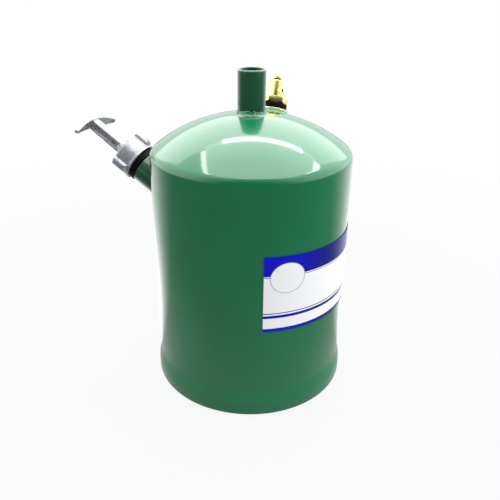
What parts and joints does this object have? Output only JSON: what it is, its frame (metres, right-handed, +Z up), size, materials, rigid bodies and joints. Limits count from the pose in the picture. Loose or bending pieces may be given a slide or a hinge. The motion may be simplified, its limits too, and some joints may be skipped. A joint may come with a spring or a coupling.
{
  "type": "blow lamp fuel tank with hand pump",
  "caption": "Upright steel pressure tank of a blow lamp: burner socket on the crown, hexagonal brass filler cap with bleed screw, and a slanted hand pump with a crescent handle.",
  "frame": {"origin": "on the ground, at the middle of the box round the lamp; the tank's own axis is 33.87 mm along +X from it", "axes": "+Z up along the tank; the pump leans out towards -X in the XZ plane, and the filler cap is towards +Y"},
  "size_m": [0.2222, 0.1544, 0.2435],
  "materials": {
    "enamel": "gloss green enamel on steel",
    "foil": "printed label film, white with blue bands",
    "brass": "turned, bright",
    "cast_alloy": "die-cast, tumbled bright",
    "steel": "plated, turned",
    "rubber": "moulded, satin black",
    "leather": "oiled cup leather",
    "fibre": "red vulcanised fibre"
  },
  "bodies": {
    "tank": {"tank_shell": "enamel", "tank_bottom": "enamel", "burner_socket": "enamel", "label": "foil", "filler_bush": "brass", "pump_sleeve": "enamel"},
    "filler_seal": {"filler_gasket": "rubber"},
    "filler_cap": {"filler_cap": "brass"},
    "bleed_seal": {"bleed_seal": "rubber"},
    "bleed_screw": {"bleed_screw": "brass"},
    "pump_seal": {"pump_gasket": "rubber"},
    "pump_unit": {"pump_cap": "cast_alloy", "pump_barrel": "brass", "valve_gasket": "fibre", "valve_body": "brass", "valve_spring": "steel", "valve_cap": "brass"},
    "valve_disc": {"valve_disc": "rubber"},
    "plunger": {"back_washer": "steel", "cup_leather": "leather", "front_washer": "steel"},
    "handle": {"pump_rod": "steel", "rod_nut": "steel", "pump_handle": "cast_alloy", "handle_pin": "steel"}
  },
  "joints": [
    {"name": "filler_cap_lift", "type": "slide", "parent": "tank", "child": "filler_seal", "axis": [0.0092, 0.3522, 0.9359], "range_m": [0, 0.006]},
    {"name": "filler_cap_turn", "type": "hinge", "parent": "filler_seal", "child": "filler_cap", "pos_m": [0.03495, 0.04139, 0.20536], "axis": [0.0092, 0.3522, 0.9359], "range_deg": [0, 1440]},
    {"name": "bleed_screw_lift", "type": "slide", "parent": "filler_cap", "child": "bleed_seal", "axis": [0.0092, 0.3522, 0.9359], "range_m": [0, 0.0015]},
    {"name": "bleed_screw_turn", "type": "hinge", "parent": "bleed_seal", "child": "bleed_screw", "pos_m": [0.03495, 0.04139, 0.20536], "axis": [0.0092, 0.3522, 0.9359], "range_deg": [0, 720]},
    {"name": "pump_unit_lift", "type": "slide", "parent": "tank", "child": "pump_seal", "axis": [-0.8368, 0, 0.5476], "range_m": [0, 0.009]},
    {"name": "pump_unit_turn", "type": "hinge", "parent": "pump_seal", "child": "pump_unit", "pos_m": [-0.06373, 0, 0.1644], "axis": [-0.8368, 0, 0.5476], "range_deg": [0, 2160]},
    {"name": "foot_valve_lift", "type": "slide", "parent": "pump_unit", "child": "valve_disc", "axis": [0.8368, 0, -0.5476], "range_m": [0, 0.0015], "stiffness_N_per_m": 150, "springref_m": -0.003, "deforming": ["valve_spring"]},
    {"name": "pump_stroke", "type": "slide", "parent": "pump_unit", "child": "plunger", "axis": [-0.8368, 0, 0.5476], "range_m": [0, 0.109]},
    {"name": "handle_turn", "type": "hinge", "parent": "plunger", "child": "handle", "pos_m": [-0.06373, 0, 0.1644], "axis": [-0.8368, 0, 0.5476], "continuous": true}
  ],
  "couplings": [
    {"joint": "filler_cap_turn", "follows": "filler_cap_lift", "rad_per_m": 4188.7},
    {"joint": "bleed_screw_turn", "follows": "bleed_screw_lift", "rad_per_m": 8377.5},
    {"joint": "pump_unit_turn", "follows": "pump_unit_lift", "rad_per_m": 4188.7}
  ]
}
